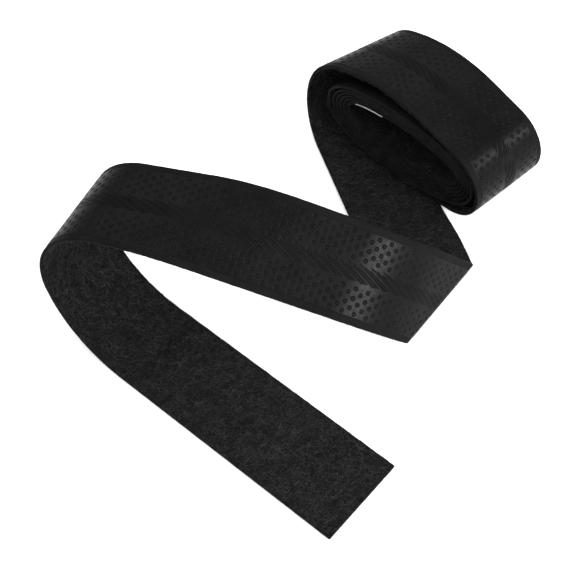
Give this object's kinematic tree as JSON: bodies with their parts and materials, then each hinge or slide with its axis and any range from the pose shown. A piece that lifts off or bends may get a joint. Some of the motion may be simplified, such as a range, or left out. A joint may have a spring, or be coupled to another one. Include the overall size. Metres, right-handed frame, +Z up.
{
  "type": "grip tape roll",
  "caption": "Roll of cushioned grip tape for a racket handle, flattened to an oval, with its loose end laid out in a zigzag",
  "frame": {"origin": "on the underside of the loose end, in the middle of the tape, 30 mm from the cut end", "axes": "Z up; the roll's axis lies along Y, with the roll's front edge towards -Y; X runs to the right, from the open loop towards the cut end"},
  "size_m": [0.1122, 0.138, 0.0449],
  "materials": {
    "embossed_cover": "satin embossed polyurethane",
    "felt_backing": "matt non-woven felt",
    "release_paper": "smooth coated paper"
  },
  "bodies": {
    "roll": {"coil_cover": "embossed_cover", "coil_felt": "felt_backing", "starter_paper": "release_paper", "outer_turn_cover": "embossed_cover", "outer_turn_felt": "felt_backing"},
    "lead_in": {"lead_cover": "embossed_cover", "lead_felt": "felt_backing"},
    "middle_run": {"middle_cover": "embossed_cover", "middle_felt": "felt_backing"},
    "loose_end": {"tail_cover": "embossed_cover", "tail_felt": "felt_backing"}
  },
  "joints": [
    {"name": "peel_hinge", "type": "hinge", "parent": "roll", "child": "lead_in", "pos_m": [-0.07763, 0.09258, 0.01215], "axis": [0.1417, 0.9899, 0.0051], "range_deg": [0, 50]},
    {"name": "right_fold_hinge", "type": "hinge", "parent": "lead_in", "child": "middle_run", "pos_m": [-0.00206, 0.06183, 0.00247], "axis": [-0.2035, 0.9769, 0.0655], "range_deg": [0, 35]},
    {"name": "left_loop_hinge", "type": "hinge", "parent": "middle_run", "child": "loose_end", "pos_m": [-0.07208, -0.00899, 0.03249], "axis": [-0.3578, 0.9319, 0.0604], "range_deg": [-10, 25]}
  ]
}
